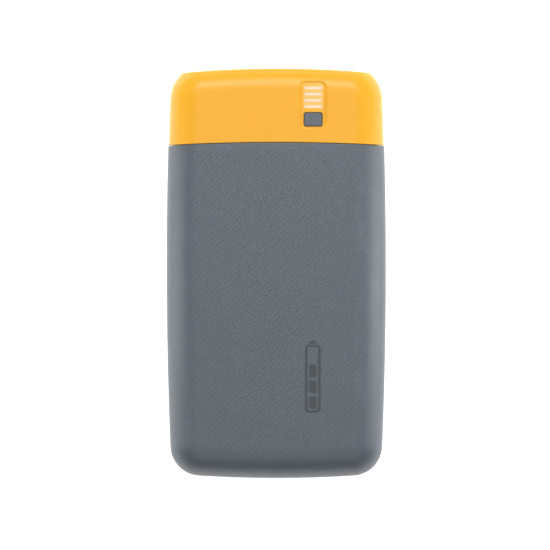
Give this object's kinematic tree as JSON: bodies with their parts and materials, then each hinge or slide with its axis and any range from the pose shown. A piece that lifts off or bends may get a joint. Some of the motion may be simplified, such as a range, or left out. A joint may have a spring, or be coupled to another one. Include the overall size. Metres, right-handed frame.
{
  "type": "power bank",
  "caption": "Slim rounded power bank with a soft-touch two-piece shell, a bright end cap, charge light bars beside a push button, and charging ports in the end.",
  "frame": {"origin": "bottom centre of the bounding box, the bank lying on its back", "axes": "+X to the right, +Y towards the end cap and its ports, +Z out of the front face"},
  "size_m": [0.071, 0.1324, 0.021],
  "materials": {
    "grey_shell": "satin",
    "orange_shell": "satin",
    "grey_button": "matte",
    "zinc_screw": "satin",
    "lit_guide": "satin",
    "led_package": "satin",
    "black_nylon": "matte",
    "white_nylon": "satin",
    "port_insulator": "matte",
    "bright_steel": "satin",
    "gold_contact": "polished",
    "board_laminate": "satin",
    "chip_resin": "matte",
    "capacitor_ceramic": "satin",
    "ferrite_core": "matte",
    "can_aluminium": "satin",
    "red_lead": "satin",
    "black_lead": "satin",
    "pouch_foil": "satin",
    "nickel_tab": "satin",
    "adhesive_tape": "matte",
    "black_foam": "matte"
  },
  "bodies": {
    "casing": {"back_cover": "grey_shell", "battery_plug": "white_nylon", "battery_socket": "white_nylon", "bulk_capacitors": "can_aluminium", "cell_back": "pouch_foil", "cell_front": "pouch_foil", "cell_tabs": "nickel_tab", "cell_tape": "adhesive_tape", "ceramic_capacitors": "capacitor_ceramic", "charge_controller": "chip_resin", "charge_lights": "led_package", "cover_screws": "zinc_screw", "end_cap": "orange_shell", "foam_pad_back": "black_foam", "foam_pad_front": "black_foam", "foam_tail": "black_foam", "front_cover": "grey_shell", "lead_negative": "black_lead", "lead_positive": "red_lead", "light_guide": "lit_guide", "light_shield": "black_nylon", "main_board": "board_laminate", "microcontroller": "chip_resin", "port_controller": "chip_resin", "power_inductor": "ferrite_core", "power_transistors": "chip_resin", "protection_board": "board_laminate", "protection_chips": "chip_resin", "resistors": "chip_resin", "switch_body": "black_nylon", "switch_dome": "bright_steel", "switch_plate": "bright_steel", "thermistor": "black_nylon", "usb_a_left_contacts": "gold_contact", "usb_a_left_shell": "bright_steel", "usb_a_left_tongue": "port_insulator", "usb_a_middle_contacts": "gold_contact", "usb_a_middle_shell": "bright_steel", "usb_a_middle_tongue": "port_insulator", "usb_c_contacts": "gold_contact", "usb_c_shell": "bright_steel", "usb_c_tongue": "black_nylon"},
    "button": {"button_cap": "grey_button"},
    "plunger": {"switch_plunger": "black_nylon"}
  },
  "joints": [
    {"name": "button_press", "type": "slide", "parent": "casing", "child": "button", "axis": [0, 0, -1], "range_m": [0, 0.0004], "stiffness_N_per_m": 2500, "deforming": ["switch_dome"]},
    {"name": "switch_press", "type": "slide", "parent": "casing", "child": "plunger", "axis": [0, 0, -1], "range_m": [0, 0.0004]}
  ],
  "couplings": [
    {"joint": "switch_press", "follows": "button_press", "ratio": 1}
  ]
}
